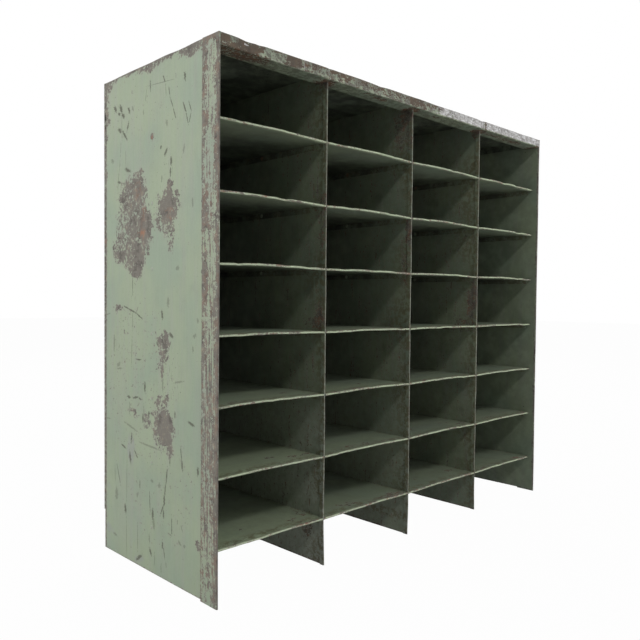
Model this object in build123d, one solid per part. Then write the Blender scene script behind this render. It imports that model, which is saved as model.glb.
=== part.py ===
from build123d import *
import os

# An open pigeonhole mail sorter folded from sheet steel: two side panels, a top, a back, three
# upright dividers and a loose shelf under every pigeonhole, riveted together.
#
# Frame: +X to the right seen from the front, +Y towards the back, +Z up.
# The origin is at the centre of the footprint, on the surface that the sorter stands on.

# Overall size
WIDTH = 1016.0
HEIGHT = 914.4
DEPTH = 381.0

# Layout
COLUMNS = 4
ROWS = 7
BOTTOM_SHELF_Z = 89.5     # height of the lowest shelf's ends
SHELF_PITCH = 116.3       # from one shelf to the next
SETBACK = 15.0            # shelves and dividers behind the front of the side panels

# Sheet steel
SHEET = 1.2               # top, back, dividers and shelves
SIDE_SHEET = 1.5          # side panels
BEND_RADIUS = 1.8         # to the middle of the sheet, in an ordinary bend
FOLD_EASE = 0.05          # straight left between the two quarter bends of a fold
BACK_CORNER = 2.4         # radius of the back panel's corners

# Side panels: the front edge is folded outwards over itself
SIDE_HEM_WIDTH = 45.0
SIDE_HEM_GAP = 1.0        # between the layers at the fold
SIDE_HEM_TOUCH = 0.3      # between the layers at the raw edge
SIDE_LIFT = 2.0           # the panel behind the hem stops this far above the floor
REAR_FLANGE = 15.0

# Top panel: fascia, a return flange under it, and flanges turned down inside the case
FASCIA = 19.5
RETURN_FLANGE = 38.5
TOP_SIDE_FLANGE = 15.0
TOP_REAR_FLANGE = 15.0

# Dividers: the front edge is folded to the left
DIVIDER_HEM_DEPTH = 10.0
DIVIDER_HEM_GAP = 0.6
DIVIDER_TOP_FLANGE = 12.0

# Shelves: the front edge is rolled under, the other three edges are turned down
SHELF_EDGE = 4.0          # thickness of the rolled front edge
SHELF_EDGE_ROUND = 1.9
SHELF_HEM_DEPTH = 12.0
SHELF_FLANGE = 12.0
SHELF_FLANGE_START = 14.0
SHELF_CROWN = [2.4, 2.4, 2.2, 1.6, 2.4, 1.8, 1.0]   # rise at mid-span, top row first
NOTCH_WIDTH = 2.0         # clears the divider's folded edge

# Rivets
RIVET_RADIUS = 2.0
HEAD_RADIUS = 4.0
HEAD_RISE = 1.0
TAIL_RADIUS = 3.2
TAIL_RISE = 0.8
RIVET_DROP = 5.5          # below the shelf's top face
RIVET_PLACE = 11.0        # behind the middle of the depth
DRILL_LENGTH = 16.0       # reaches through every layer at a rivet

CLEAR = 0.3               # between edges that don't touch
BEND_CLEAR = 2.0          # keeps a square corner out of a bend

# Planes worked out from the sizes above
FRONT = -DEPTH / 2
BACK_FACE = DEPTH / 2 - HEAD_RISE
BACK_INSIDE = BACK_FACE - SHEET
SIDE_STEP = SIDE_SHEET + SIDE_HEM_GAP
SIDE_OUTSIDE = WIDTH / 2 - SIDE_STEP
SIDE_INSIDE = SIDE_OUTSIDE - SIDE_SHEET
COLUMN_CLEAR = (2 * SIDE_INSIDE - (COLUMNS - 1) * SHEET) / COLUMNS
COLUMN_PITCH = COLUMN_CLEAR + SHEET
INNER_FRONT = FRONT + SETBACK
SHELF_BACK = BACK_INSIDE - SIDE_SHEET - BEND_CLEAR
SHELF_DEPTH = SHELF_BACK - INNER_FRONT
BACK_BOTTOM = BOTTOM_SHELF_Z - SHELF_FLANGE
FASCIA_BOTTOM = HEIGHT - FASCIA
TOP_FLANGE_BOTTOM = HEIGHT - TOP_REAR_FLANGE
RETURN_BACK = FRONT + RETURN_FLANGE


def shelf_level(row):
    """Height of a shelf's ends; row 1 is the top shelf."""
    return BOTTOM_SHELF_Z + (ROWS - row) * SHELF_PITCH


def column_centre(column):
    return (column - (COLUMNS + 1) / 2) * COLUMN_PITCH


def divider_place(index):
    """X of the middle of a divider's sheet; 1 is the left divider."""
    return (index - COLUMNS / 2) * COLUMN_PITCH


def block(x, y, z):
    """A box from its (low, high) limits along each axis."""
    size = Box(x[1] - x[0], y[1] - y[0], z[1] - z[0], align=(Align.MIN, Align.MIN, Align.MIN))
    return Pos(x[0], y[0], z[0]) * size


def folded_sheet(plane, points, radii, thickness, length):
    """Sheet metal whose middle line follows the points, pushed out along the plane's normal."""
    path = FilletPolyline(*points, radius=radii)
    profile = plane * trace(path, line_width=thickness)
    return extrude(profile, amount=length)


def side_panel():
    """The left side panel: rear flange, plain sheet, and a wide hem folded outwards at the front."""
    middle = -(SIDE_OUTSIDE + SIDE_INSIDE) / 2
    rear = BACK_INSIDE - SIDE_SHEET / 2
    nose = FRONT + SIDE_SHEET / 2
    fold_radius = SIDE_STEP / 2 - FOLD_EASE
    raw_edge = middle - SIDE_SHEET - SIDE_HEM_TOUCH
    points = [
        (-SIDE_INSIDE + REAR_FLANGE, rear),
        (middle, rear),
        (middle, nose),
        (middle - SIDE_STEP, nose),
        (raw_edge, FRONT + SIDE_HEM_WIDTH),
    ]
    panel = folded_sheet(Plane.XY, points, [BEND_RADIUS, fold_radius, fold_radius], SIDE_SHEET, HEIGHT)
    panel -= block((-WIDTH, WIDTH), (FRONT + SIDE_HEM_WIDTH + CLEAR, DEPTH), (0, SIDE_LIFT))
    inside = -SIDE_INSIDE
    panel -= block((inside, inside + 2 * REAR_FLANGE), (0, DEPTH), (TOP_FLANGE_BOTTOM - CLEAR, HEIGHT))
    panel -= side_rivet_holes()
    return panel - back_rivet_holes()


def top_panel():
    """The top: one sheet folded into a fascia with a return flange, and turned down at the back."""
    half = SHEET / 2
    points = [
        (RETURN_BACK, FASCIA_BOTTOM + half),
        (FRONT + half, FASCIA_BOTTOM + half),
        (FRONT + half, HEIGHT - half),
        (BACK_INSIDE - half, HEIGHT - half),
        (BACK_INSIDE - half, TOP_FLANGE_BOTTOM),
    ]
    plane = Plane(origin=(-SIDE_INSIDE, 0, 0), x_dir=(0, 1, 0), z_dir=(1, 0, 0))
    top = folded_sheet(plane, points, [BEND_RADIUS] * 3, SHEET, 2 * SIDE_INSIDE)
    flange_y = (RETURN_BACK + CLEAR, BACK_INSIDE - 2 * SHEET)
    flange_z = (HEIGHT - TOP_SIDE_FLANGE, HEIGHT - SHEET / 2)
    top += block((-SIDE_INSIDE, -SIDE_INSIDE + SHEET), flange_y, flange_z)
    top += block((SIDE_INSIDE - SHEET, SIDE_INSIDE), flange_y, flange_z)
    return top - top_rivet_holes()


def back_panel():
    """One flat sheet behind all the rear flanges, from the top down to the lowest shelf."""
    sheet = block((-SIDE_OUTSIDE, SIDE_OUTSIDE), (BACK_INSIDE, BACK_FACE), (BACK_BOTTOM, HEIGHT - CLEAR))
    corners = sheet.edges().filter_by(Axis.Y)
    return fillet(corners, BACK_CORNER) - back_rivet_holes() - top_rivet_holes()


def divider(place):
    """An upright sheet from the floor to the top, hemmed at the front and flanged at the back."""
    step = SHEET + DIVIDER_HEM_GAP
    fold_radius = step / 2 - FOLD_EASE
    rear = BACK_INSIDE - SHEET / 2
    nose = INNER_FRONT + SHEET / 2
    under_top = HEIGHT - SHEET
    points = [
        (place + SHEET / 2 + REAR_FLANGE, rear),
        (place, rear),
        (place, nose),
        (place - step, nose),
        (place - step, INNER_FRONT + DIVIDER_HEM_DEPTH),
    ]
    sheet = folded_sheet(Plane.XY, points, [BEND_RADIUS, fold_radius, fold_radius], SHEET, under_top)
    flange_x = (place + SHEET / 2, place + 2 * REAR_FLANGE)
    sheet -= block(flange_x, (0, DEPTH), (0, BACK_BOTTOM))
    everywhere = (place - REAR_FLANGE, place + 2 * REAR_FLANGE)
    sheet -= block(everywhere, (SHELF_BACK, DEPTH), (TOP_FLANGE_BOTTOM - CLEAR, HEIGHT))
    sheet -= block(everywhere, (FRONT, RETURN_BACK + CLEAR), (FASCIA_BOTTOM, HEIGHT))
    top_flange_x = (place, place + SHEET / 2 + DIVIDER_TOP_FLANGE)
    top_flange_y = (RETURN_BACK + CLEAR, SHELF_BACK)
    sheet += block(top_flange_x, top_flange_y, (under_top - SHEET, under_top))
    return sheet - divider_rivet_holes(place) - back_rivet_holes()


def crowned_strip(rise, top, bottom, front, back):
    """A strip as wide as a pigeonhole, arched across its width, between two depths."""
    half = COLUMN_CLEAR / 2
    upper = ThreePointArc((-half, top), (0, top + rise), (half, top))
    lower = ThreePointArc((half, bottom), (0, bottom + rise), (-half, bottom))
    ends = [Line((half, top), (half, bottom)), Line((-half, bottom), (-half, top))]
    plane = Plane(origin=(0, front, 0), x_dir=(1, 0, 0), z_dir=(0, -1, 0))
    section = plane * make_face([upper, ends[0], lower, ends[1]])
    return extrude(section, amount=back - front, dir=(0, 1, 0))


def shelf(rise):
    """One shelf: arched plate, rolled front edge, and flanges down its sides and back."""
    half = COLUMN_CLEAR / 2
    nose = crowned_strip(rise, 0, -SHELF_EDGE, 0, SHELF_EDGE / 2)
    front_edges = nose.edges().filter_by(GeomType.CIRCLE).group_by(Axis.Y)[0]
    nose = fillet(front_edges, SHELF_EDGE_ROUND)
    body = nose + crowned_strip(rise, 0, -SHEET, SHELF_EDGE / 2, SHELF_DEPTH)
    body += crowned_strip(rise, SHEET - SHELF_EDGE, -SHELF_EDGE, SHELF_EDGE / 2, SHELF_HEM_DEPTH)
    body += crowned_strip(rise, -SHEET, -SHELF_FLANGE, SHELF_DEPTH - SHEET, SHELF_DEPTH)
    side_y = (SHELF_FLANGE_START, SHELF_DEPTH - SHEET)
    for side in (-1, 1):
        faces = sorted([side * half, side * (half - SHEET)])
        body += block(faces, side_y, (-SHELF_FLANGE, -SHEET / 2))
    body -= block((half - NOTCH_WIDTH, WIDTH), (-DEPTH, SHELF_HEM_DEPTH + CLEAR), (-HEIGHT, HEIGHT))
    hole = Rot(0, 90, 0) * Cylinder(RIVET_RADIUS, WIDTH)
    return body - Pos(0, RIVET_PLACE - INNER_FRONT, -RIVET_DROP) * hole


def rivet(grip):
    """A domed rivet along +Z: the made head below Z = 0, the grip above it, then the set tail."""
    outline = [
        Line((0, -HEAD_RISE), (0, grip + TAIL_RISE)),
        TangentArc((0, grip + TAIL_RISE), (TAIL_RADIUS, grip), tangent=(1, 0)),
        Polyline((TAIL_RADIUS, grip), (RIVET_RADIUS, grip), (RIVET_RADIUS, 0), (HEAD_RADIUS, 0)),
        TangentArc((0, -HEAD_RISE), (HEAD_RADIUS, 0), tangent=(1, 0)),
    ]
    half_section = Plane.XZ * make_face(outline)
    return revolve(half_section, axis=Axis.Z)


def shelf_rivet_spots():
    """Heights of the rivets that hold the shelves' side flanges, near the middle of the depth."""
    return [shelf_level(row) - RIVET_DROP for row in range(1, ROWS + 1)]


def seam_rivet_spots():
    """Heights of the rivets down a rear seam, one behind the middle of each pigeonhole."""
    return [shelf_level(row) + SHELF_PITCH / 2 for row in range(1, ROWS + 1)]


def back_seams():
    """X of each upright rear seam and the thickness of the flange behind it."""
    in_flange = REAR_FLANGE / 2
    seams = [(divider_place(i) + SHEET / 2 + in_flange, SHEET) for i in range(1, COLUMNS)]
    edge = SIDE_INSIDE - in_flange
    return [(-edge, SIDE_SHEET), *seams, (edge, SIDE_SHEET)]


def holes_along(axis_turn, spots):
    """Round holes of the rivets' size, far longer than any sheet is thick, through the spots."""
    return [Pos(*spot) * axis_turn * Cylinder(RIVET_RADIUS, DRILL_LENGTH) for spot in spots]


def side_rivet_holes():
    spots = [(-SIDE_OUTSIDE, RIVET_PLACE, z) for z in shelf_rivet_spots()]
    return holes_along(Rot(0, 90, 0), spots)


def divider_rivet_holes(place):
    return holes_along(Rot(0, 90, 0), [(place, RIVET_PLACE, z) for z in shelf_rivet_spots()])


def back_rivet_holes():
    spots = [(x, BACK_FACE, z) for x, _ in back_seams() for z in seam_rivet_spots()]
    return holes_along(Rot(90, 0, 0), spots)


def top_rivet_places():
    """Rivets that hold the back panel to the top's rear flange, one above each column."""
    height = HEIGHT - TOP_REAR_FLANGE / 2 - SHEET
    return [(column_centre(column), BACK_FACE, height) for column in range(1, COLUMNS + 1)]


def top_rivet_holes():
    return holes_along(Rot(90, 0, 0), top_rivet_places())


def side_rivets():
    one = Rot(0, 90, 0) * rivet(SIDE_SHEET + SHEET)
    return Compound([Pos(-SIDE_OUTSIDE, RIVET_PLACE, z) * one for z in shelf_rivet_spots()])


def divider_rivets(place):
    grip = 3 * SHEET
    one = Rot(0, 90, 0) * rivet(grip)
    return Compound([Pos(place - grip / 2, RIVET_PLACE, z) * one for z in shelf_rivet_spots()])


def back_rivets():
    """Rivets of the upright rear seams, and those along the top's rear flange."""
    rivets = []
    for x, flange in back_seams():
        one = Rot(90, 0, 0) * rivet(SHEET + flange)
        rivets += [Pos(x, BACK_FACE, z) * one for z in seam_rivet_spots()]
    one = Rot(90, 0, 0) * rivet(2 * SHEET)
    rivets += [Pos(*place) * one for place in top_rivet_places()]
    return Compound(rivets)


def build():
    """Every node of the sorter, by name."""
    left_panel = side_panel()
    left_rivets = side_rivets()
    nodes = {
        "left_side_panel": left_panel,
        "right_side_panel": mirror(left_panel, about=Plane.YZ),
        "top_panel": top_panel(),
        "back_panel": back_panel(),
        "left_side_rivets": left_rivets,
        "right_side_rivets": mirror(left_rivets, about=Plane.YZ),
        "back_rivets": back_rivets(),
    }
    for index in range(1, COLUMNS):
        place = divider_place(index)
        nodes[f"divider_{index}"] = divider(place)
        nodes[f"divider_{index}_rivets"] = divider_rivets(place)
    for row in range(1, ROWS + 1):
        plate = shelf(SHELF_CROWN[row - 1])
        for column in range(1, COLUMNS + 1):
            place = Pos(column_centre(column), INNER_FRONT, shelf_level(row))
            nodes[f"shelf_row_{row}_column_{column}"] = place * plate
    return nodes


os.makedirs("parts", exist_ok=True)
for name, shape in build().items():
    export_step(shape, f"parts/{name}.step")
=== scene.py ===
import cmath
import math

import bmesh
import bpy
import numpy as np
from mathutils import Matrix, Vector


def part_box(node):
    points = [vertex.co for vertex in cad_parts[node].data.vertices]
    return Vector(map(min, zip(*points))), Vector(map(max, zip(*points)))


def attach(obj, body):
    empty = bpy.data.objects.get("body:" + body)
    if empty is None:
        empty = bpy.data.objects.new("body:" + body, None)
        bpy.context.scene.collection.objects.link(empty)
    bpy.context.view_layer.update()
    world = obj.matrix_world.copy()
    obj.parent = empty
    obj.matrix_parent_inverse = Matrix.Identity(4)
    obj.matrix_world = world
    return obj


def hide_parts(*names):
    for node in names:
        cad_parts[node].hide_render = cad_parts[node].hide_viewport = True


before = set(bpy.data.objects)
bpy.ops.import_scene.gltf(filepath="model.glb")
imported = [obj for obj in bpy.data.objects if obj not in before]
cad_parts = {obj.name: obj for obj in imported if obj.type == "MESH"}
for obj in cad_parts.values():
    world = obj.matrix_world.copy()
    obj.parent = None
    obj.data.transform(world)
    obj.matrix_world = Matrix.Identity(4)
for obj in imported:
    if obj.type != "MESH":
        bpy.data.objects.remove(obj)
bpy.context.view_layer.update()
MM = 0.001


# ------ sizes, in mm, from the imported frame
def node_box(name):
    """Lowest and highest corner of a CAD node."""
    low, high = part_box(name)
    return np.array(low) / MM, np.array(high) / MM


LEFT_LOW, LEFT_HIGH = node_box("left_side_panel")
TOP_LOW, TOP_HIGH = node_box("top_panel")
BACK_LOW, BACK_HIGH = node_box("back_panel")
DIVIDER_LOW, _ = node_box("divider_2")
SHELF_LOW, SHELF_HIGH = node_box("shelf_row_7_column_1")

COLUMNS = 4
ROWS = 7
SHEET = BACK_HIGH[1] - BACK_LOW[1]  # every sheet but the side panels
SIDE_SHEET = 1.5
SIDE_INSIDE = TOP_HIGH[0]
SIDE_OUTSIDE = SIDE_INSIDE + SIDE_SHEET
SIDE_STEP = 2.5  # between the layers of a side panel's front fold
SIDE_HEM = 45.0
SIDE_HEM_GAP = 0.3  # between the hem's raw edge and the panel
SIDE_FOLD_SLACK = 0.08  # keeps the two bends of a fold from meeting
SIDE_LIFT = 2.0
HEIGHT = LEFT_HIGH[2]
FRONT = LEFT_LOW[1]
BACK_INSIDE = BACK_LOW[1]
BACK_BOTTOM = BACK_LOW[2]
FASCIA_BOTTOM = TOP_LOW[2]
RETURN_FLANGE = 38.5
RETURN_BACK = FRONT + RETURN_FLANGE
REAR_FLANGE = 15.0
FLANGE_GAP = 0.3  # under the top's own flanges
DIVIDER_HEM = 10.0
DIVIDER_STEP = 1.8
DIVIDER_FOLD_SLACK = 0.03
DIVIDER_CAP = 12.0
INNER_FRONT = DIVIDER_LOW[1]
SHELF_BACK = SHELF_HIGH[1]
SHELF_WIDTH = SHELF_HIGH[0] - SHELF_LOW[0]
SHELF_EDGE = 4.0
SHELF_FOLD_SLACK = 0.02
SHELF_HEM = 12.0
SHELF_FLANGE = 12.0
SHELF_FLANGE_START = 14  # behind the shelf's front edge
NOTCH = 2.0
COLUMN_PITCH = SHELF_WIDTH + SHEET
BOTTOM_SHELF = SHELF_LOW[2] + SHELF_FLANGE
SHELF_PITCH = (node_box("shelf_row_1_column_1")[0][2] - SHELF_LOW[2]) / (ROWS - 1)
CROWNS = [2.4, 2.4, 2.2, 1.6, 2.4, 1.8, 1.0]  # rise of each row's shelves, from the top down
BEND = 1.8  # radius of an ordinary bend, to the middle of the sheet
BEND_STEPS = 6
TOP_FINE, DIVIDER_FINE, SHELF_FINE = 40, 80, 36  # depths behind the front with closer vertices
SHARP_ANGLE = 40
FAR = 1000.0  # further than wear reaches
BOUNDLESS = 1.0e5  # a dent's radius across the sheet


def column_x(column):
    return (column - (COLUMNS + 1) / 2) * COLUMN_PITCH


def divider_x(index):
    return (index - COLUMNS / 2) * COLUMN_PITCH


def shelf_z(row):
    return BOTTOM_SHELF + (ROWS - row) * SHELF_PITCH


# ------ folded sheet steel as meshes
class Sheet:
    """A mesh of sheet steel, with what its wear is worked out from.

    At each vertex: its place, the way it faces, and its distances in mm from the nearest raw
    edge (rim) and from the front fold (fold).
    """

    def __init__(self, places, facing, faces, rim, fold):
        self.places, self.facing, self.faces = places, facing, faces
        self.rim, self.fold = rim, fold

    def joined(self, other):
        shift = len(self.places)
        faces = self.faces + [tuple(corner + shift for corner in face) for face in other.faces]
        both = [np.concatenate([a, b]) for a, b in (
            (self.places, other.places), (self.facing, other.facing),
            (self.rim, other.rim), (self.fold, other.fold))]
        return Sheet(both[0], both[1], faces, both[2], both[3])


def bent_line(points, radii, steps):
    """Closely spaced points along a folded line, and the heading at each, as complex numbers.

    A radius of 0 carries straight on to the next run; steps gives each run's spacing.
    """
    corners = [complex(*point) for point in points]
    places, headings = [], []

    def run(start, end, step):
        count = max(1, round(abs(end - start) / step))
        places.extend(start + (end - start) * i / count for i in range(count + 1))
        headings.extend([(end - start) / abs(end - start)] * (count + 1))

    start = corners[0]
    for before, corner, after, radius, step in zip(corners, corners[1:], corners[2:], radii, steps):
        into = (corner - before) / abs(corner - before)
        turn = cmath.phase((after - corner) / into)
        trim = radius * math.tan(abs(turn) / 2)
        run(start, corner - into * trim, step)
        if radius == 0:
            places.pop()
            headings.pop()
            start = corner
            continue
        arm = into * radius * (-1j if turn > 0 else 1j)
        centre = places[-1] - arm
        for i in range(1, BEND_STEPS):
            swing = cmath.rect(1, turn * i / BEND_STEPS)
            places.append(centre + arm * swing)
            headings.append(into * swing)
        start = corner + (after - corner) / abs(after - corner) * trim
    run(start, corners[-1], steps[-1])
    return np.array(places), np.array(headings)


def stations(low, high, step, cuts=()):
    """Even positions from low to high that also include each cut."""
    marks = sorted({low, high, *cuts})
    places = [marks[0]]
    for a, b in zip(marks, marks[1:]):
        count = max(1, round((b - a) / step))
        places += [a + (b - a) * (i + 1) / count for i in range(count)]
    return np.array(places)


def swept(section, along, axes):
    """The grid that a section makes along an axis; axes such as "xyz" says which goes where."""
    grid = np.zeros((len(section), len(along), 3))
    grid[:, :, "xyz".index(axes[0])] = section.real[:, None]
    grid[:, :, "xyz".index(axes[1])] = section.imag[:, None]
    grid[:, :, "xyz".index(axes[2])] = along[None, :]
    return grid.reshape(-1, 3)


def folded_sheet(points, radii, steps, thickness, along, axes, nose=None, keep=None):
    """The sheet whose folded section is swept along an axis.

    A point in line with its neighbours only changes the spacing. nose is the section's point on
    the front fold, and keep(a, b, w) says which cells of the sheet are left after its cut-outs.
    """
    line, headings = bent_line(points, radii, steps)
    n, m = len(line), len(along)
    reach = np.concatenate([[0], np.cumsum(np.abs(np.diff(line)))])
    middle = (line[1:] + line[:-1]) / 2
    centre = (along[1:] + along[:-1]) / 2
    kept = np.ones((n - 1, m - 1), bool)
    if keep:
        kept = keep(middle.real[:, None], middle.imag[:, None], centre[None, :]) & kept
    lower = n * m
    index = np.arange(n * m).reshape(n, m)
    padded = np.pad(kept, 1)
    faces = []
    for i, k in zip(*np.nonzero(kept)):
        a, b, c, d = index[i, k], index[i + 1, k], index[i + 1, k + 1], index[i, k + 1]
        faces.append((a, b, c, d))
        faces.append((d + lower, c + lower, b + lower, a + lower))
        sides = ((i, k + 1, a, d), (i + 2, k + 1, c, b), (i + 1, k, b, a), (i + 1, k + 2, d, c))
        faces += [(q, p, p + lower, q + lower) for pi, pk, p, q in sides if not padded[pi, pk]]
    offset = headings * 1j * thickness / 2
    places = [swept(line + offset * side, along, axes) for side in (1, -1)]
    facing = [swept(headings * 1j * side, along * 0, axes) for side in (1, -1)]
    edge = np.minimum(reach, reach[-1] - reach)[:, None]
    ends = np.minimum(along - along[0], along[-1] - along)[None, :]
    rim = np.minimum(edge, ends).ravel()
    nose_reach = reach[np.argmin(np.abs(line - complex(*nose)))] if nose else -FAR
    fold = np.repeat(np.abs(reach - nose_reach), m)
    return Sheet(np.concatenate(places), np.concatenate(facing), faces,
                 np.tile(rim, 2), np.tile(fold, 2))


def make_piece(name, sheet, material, node, wear, shape):
    """A piece that stands for a CAD node.

    wear(sheet) gives its fields of wear by name, and shape(places) bends it out of true.
    """
    mesh = bpy.data.meshes.new(name)
    mesh.from_pydata((shape(sheet.places.copy()) * MM).tolist(), [], sheet.faces)
    for label, values in {**CLEAN, **wear(sheet)}.items():
        field = mesh.attributes.new(label, "FLOAT", "POINT")
        values = np.broadcast_to(values, len(sheet.places))
        field.data.foreach_set("value", values.astype(np.float32))
    work = bmesh.new()
    work.from_mesh(mesh)
    loose = [vertex for vertex in work.verts if not vertex.link_faces]
    bmesh.ops.delete(work, geom=loose, context="VERTS")
    bmesh.ops.recalc_face_normals(work, faces=work.faces)
    work.to_mesh(mesh)
    work.free()
    mesh.shade_smooth()
    mesh.set_sharp_from_angle(angle=math.radians(SHARP_ANGLE))
    mesh.materials.append(material)
    piece = bpy.data.objects.new(name, mesh)
    bpy.context.scene.collection.objects.link(piece)
    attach(piece, "root")
    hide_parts(node)


def ripple(seed, wavelength):
    """A smooth wandering surface of about unit height over two coordinates."""
    rng = np.random.default_rng(seed)
    turns = rng.uniform(0, 2 * math.pi, 7)
    speeds = 2 * math.pi / (wavelength * rng.uniform(0.6, 1.8, 7))
    phases = rng.uniform(0, 2 * math.pi, 7)

    def height(u, v=0.0):
        waves = [np.sin(s * (u * math.cos(t) + v * math.sin(t)) + p)
                 for t, s, p in zip(turns, speeds, phases)]
        return sum(waves) / 3

    return height


def dent(places, centre, radii, push):
    """Pushes the sheet around a point, fading out over the given radii."""
    away = (places - np.array(centre)) / np.array(radii)
    fade = np.exp(-(away ** 2).sum(1))[:, None]
    return places + fade * np.array(push)


# ------ fields of wear
# rot     rust, in patches: certain at 0.5, speckled about 0, none at -0.5
# drag    the same for wear in streaks along the sheet's fold
# warm    how orange the rust is, from 0 to 1
# bare    bare steel, on the scale of rot
# pale    paint rubbed thin and light, or pale dust with painted light low in the pigeonholes, from 0 to 1
# dirt  soot over everything but bare steel, and painted shade deep inside the case, from 0 to 1
# brown   brown grime on the paint, from 0 to 1
# outer   1 where the sheet's drawn scratches may show
# The strengths and the widths in mm in the wear functions are set against the photo.
CLEAN = {"rot": -1.0, "drag": -1.0, "warm": 0.0, "bare": -1.0, "pale": 0.0, "dirt": 0.0,
         "brown": 0.0, "outer": 0.0}


def patches(u, v, spots, seed=1, torn=4.0, lobed=0.0):
    """Above zero inside the outline of the nearest spot.

    A spot is (u, v, half width, half height, how solid it is), and its lean in degrees if it has
    one. torn and lobed are how far, in mm, outlines wander over short and long stretches.
    """
    u, v = (u + torn * ripple(seed, 22)(u, v) + lobed * ripple(seed + 2, 90)(u, v),
            v + torn * ripple(seed + 1, 22)(u, v) + lobed * ripple(seed + 3, 90)(u, v))
    best = np.full(u.shape, -1.0)
    for centre_u, centre_v, half_u, half_v, solid, *lean in spots:
        a, b = u - centre_u, v - centre_v
        angle = math.radians(lean[0] if lean else 0)
        cos, sin = math.cos(angle), math.sin(angle)
        reach = np.hypot((a * cos + b * sin) / half_u, (b * cos - a * sin) / half_v)
        best = np.maximum(best, np.minimum(1.2 * (1 - reach), 0.8 * solid))
    return best


def near(distance, width, strength=0.5):
    """Wear of the given strength beside an edge, gone at about the given width."""
    return strength - (strength + 0.4) * np.clip(distance / width, 0, 2)


def only(mask, field):
    """The field where the mask is true, and no wear elsewhere."""
    return np.where(mask, field, -1.0)


def worst(*fields):
    """The strongest of the fields at each vertex."""
    return np.maximum.reduce(np.broadcast_arrays(*fields))


# ------ the side panels
# Wear on the left panel's outer face, whose u and v are y and z.
LEFT_PATCHES = [
    (80, 682, 45, 38, 0.30), (100, 700, 18, 17, 0.3), (55, 714, 9, 9, 0.4), (57, 728, 11, 6, 0.4),
    (41, 711, 8, 5, 0.3), (34, 693, 11, 6, 0.4), (55, 690, 20, 16, 0.5), (102, 643, 36, 26, 0.03),
    (38, 624, 29, 37, 0.6), (74, 628, 36, 24, 0.35), (122, 590, 32, 27, 0.12),
    (126, 575, 20, 12, 0.4), (82, 585, 34, 28, 0.30), (57, 570, 22, 31, 0.6),
    (70, 547, 22, 15, 0.5), (104, 555, 9, 5, 0.3), (24, 590, 5, 16, 0.2), (-40, 653, 32, 29, 0.6),
    (-47, 688, 9, 13, 0.4), (-71, 672, 8, 7, 0.2), (-9, 630, 8, 9, 0.4), (-40, 618, 22, 14, 0.08),
    (-51, 590, 8, 14, 0.05), (130, 478, 20, 5, 0.3), (-38, 438, 10, 5, 0.3),
    (-30, 417, 19, 18, 0.35), (-14, 424, 13, 5, 0.1, 14), (-22, 385, 8, 28, 0.3),
    (-37, 395, 9, 12, 0.0), (-28, 268, 31, 33, 0.6), (-47, 290, 10, 11, 0.5),
    (-38, 322, 7, 10, 0.2), (-20, 308, 17, 14, 0.12), (-46, 243, 12, 23, 0.5), (0, 262, 10, 7, 0.3),
    (28, 275, 11, 14, 0.08), (5, 289, 9, 5, 0.2), (76, 287, 9, 6, 0.25), (184, 845, 15, 26, 0.25),
    (186, 812, 11, 14, 0.1), (181, 880, 9, 22, 0.0), (187, 735, 9, 8, 0.3), (187, 606, 9, 11, 0.4),
    (188, 320, 8, 6, 0.1), (-135, 89, 10, 9, 0.3), (185, 905, 26, 13, 0.3),
    (-102, 903, 24, 9, 0.4, 4), (25, 908, 38, 8, 0.3), (-135, 908, 30, 10, 0.3),
    (50, 340, 90, 110, -0.45), (-10, 170, 80, 90, -0.5), (90, 800, 90, 80, -0.58),
]
LEFT_ORANGE = [
    (38, 650, 12, 26, 1, 10), (48, 618, 14, 18, 1), (60, 690, 14, 22, 0.4), (-46, 640, 16, 10, 0.5),
    (187, 606, 12, 14, 0.8),
]
LEFT_PALE = [
    (84, 214, 16, 30, 0.6), (168, 44, 18, 11, 0.55), (54, 16, 18, 9, 0.6, -20),
    (172, 128, 16, 5, 0.35), (-16, 295, 7, 7, 0.6), (92, 690, 12, 9, 0.3), (-42, 258, 6, 5, 0.6),
    (100, 100, 60, 70, 0.12), (110, 845, 30, 20, 0.15),
]

RUSTY_RIVET = (11, 783)  # y and z of the one with rust all round it
LEFT_DENTS = [  # place, radii and push
    ((-505, BACK_INSIDE, 846), (6, 6, 5), (1.5, -3.0, 0)),
    ((-505, BACK_INSIDE, 829), (5, 5, 4), (1.0, -2.2, 0)),
    ((-505, -20, 520), (BOUNDLESS, 120, 140), (0.9, 0, 0)),
]

# On the front fold, whose raw edge is its rear one.
HEM_PATCHES = [
    (-152, 885, 9, 26, 0.3), (-152, 835, 7, 24, 0.2), (-153, 784, 12, 18, 0.7),
    (-151, 720, 5, 46, 0.1), (-155, 640, 12, 40, 0.3), (-166, 620, 9, 24, 0.15),
    (-154, 528, 10, 52, 0.45), (-151, 420, 6, 26, 0.3), (-187, 740, 9, 80, 0.4),
    (-188, 860, 7, 50, 0.2), (-188, 600, 6, 60, 0.15), (-188, 480, 6, 60, 0.2),
    (-168, 50, 5, 26, 0.2), (-184, 20, 9, 22, 0.3), (-187, 130, 7, 60, 0.3),
]
# How streaked the fold is, by height.
HEM_STREAKS = ([0, 70, 130, 260, 340, 430, 560, 700, 914],
               [-0.12, -0.02, 0.06, 0.12, 0.12, 0.02, -0.10, -0.14, -0.05])

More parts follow.
